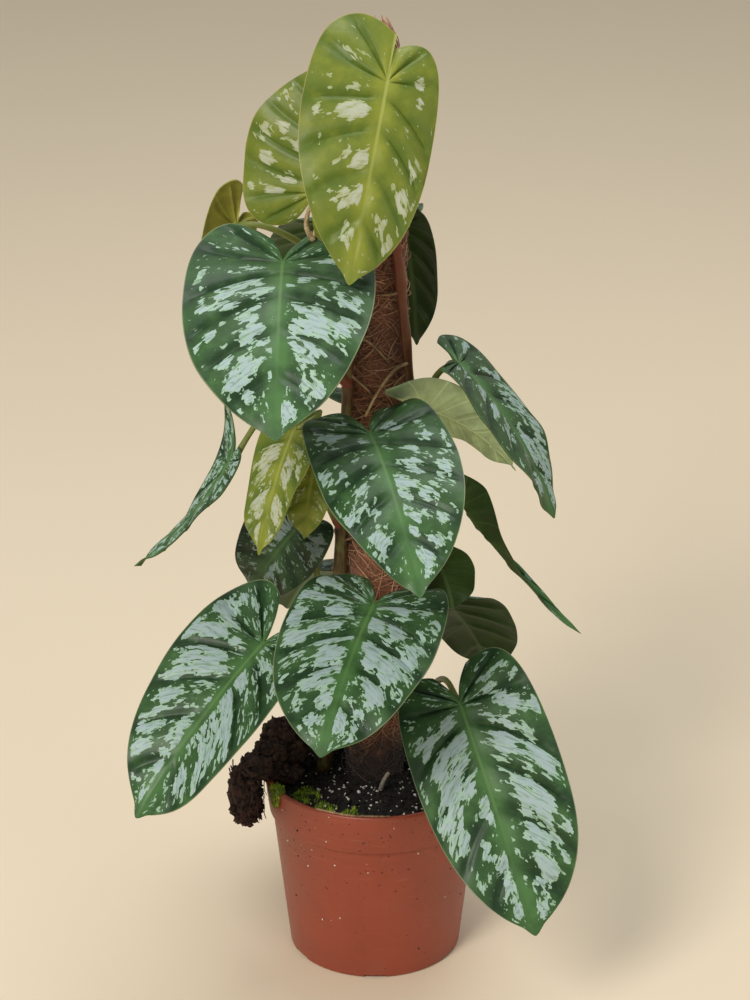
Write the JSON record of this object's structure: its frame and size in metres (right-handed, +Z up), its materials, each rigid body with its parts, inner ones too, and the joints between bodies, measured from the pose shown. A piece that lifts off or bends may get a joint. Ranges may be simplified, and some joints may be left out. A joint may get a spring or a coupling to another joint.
{
  "type": "potted silver leaf philodendron",
  "caption": "Potted climbing philodendron with silver-patched heart-shaped leaves on a coconut-fibre pole, in a round tapered nursery pot.",
  "frame": {"origin": "on the pot's axis, in the plane of its underside, which is what the part stands on", "axes": "+Z up along the pot's axis and the climbing pole, -Y towards the front that the picture shows, +X to that view's right"},
  "size_m": [0.2289, 0.305, 0.5189],
  "materials": {
    "terracotta_plastic": "satin",
    "peat_soil": "matte",
    "stake_wood": "matte",
    "coconut_fibre": "matte",
    "stem_skin": "satin",
    "mature_leaf": "satin",
    "young_leaf": "satin",
    "bark": "matte"
  },
  "bodies": {
    "root": {"pot": "terracotta_plastic", "soil": "peat_soil", "pole_stake": "stake_wood", "pole_coir": "coconut_fibre", "stem_right": "stem_skin", "stem_left": "stem_skin", "stem_back": "stem_skin", "leaf_top_front": "young_leaf", "leaf_top_left": "young_leaf", "leaf_side_left": "young_leaf", "leaf_upper_left": "mature_leaf", "leaf_upper_right": "mature_leaf", "leaf_mid_right": "mature_leaf", "leaf_mid_right_back": "mature_leaf", "leaf_centre": "mature_leaf", "leaf_young_left": "young_leaf", "leaf_young_back": "young_leaf", "leaf_left_edge": "mature_leaf", "leaf_right_edge": "mature_leaf", "leaf_low_left_back": "mature_leaf", "leaf_low_left": "mature_leaf", "leaf_low_centre": "mature_leaf", "leaf_low_right": "mature_leaf", "leaf_low_right_back": "mature_leaf", "leaf_right_fold": "mature_leaf", "leaf_back_upper": "mature_leaf", "leaf_back_middle": "mature_leaf", "leaf_back_low": "mature_leaf", "bark_clump": "bark"}
  },
  "joints": []
}
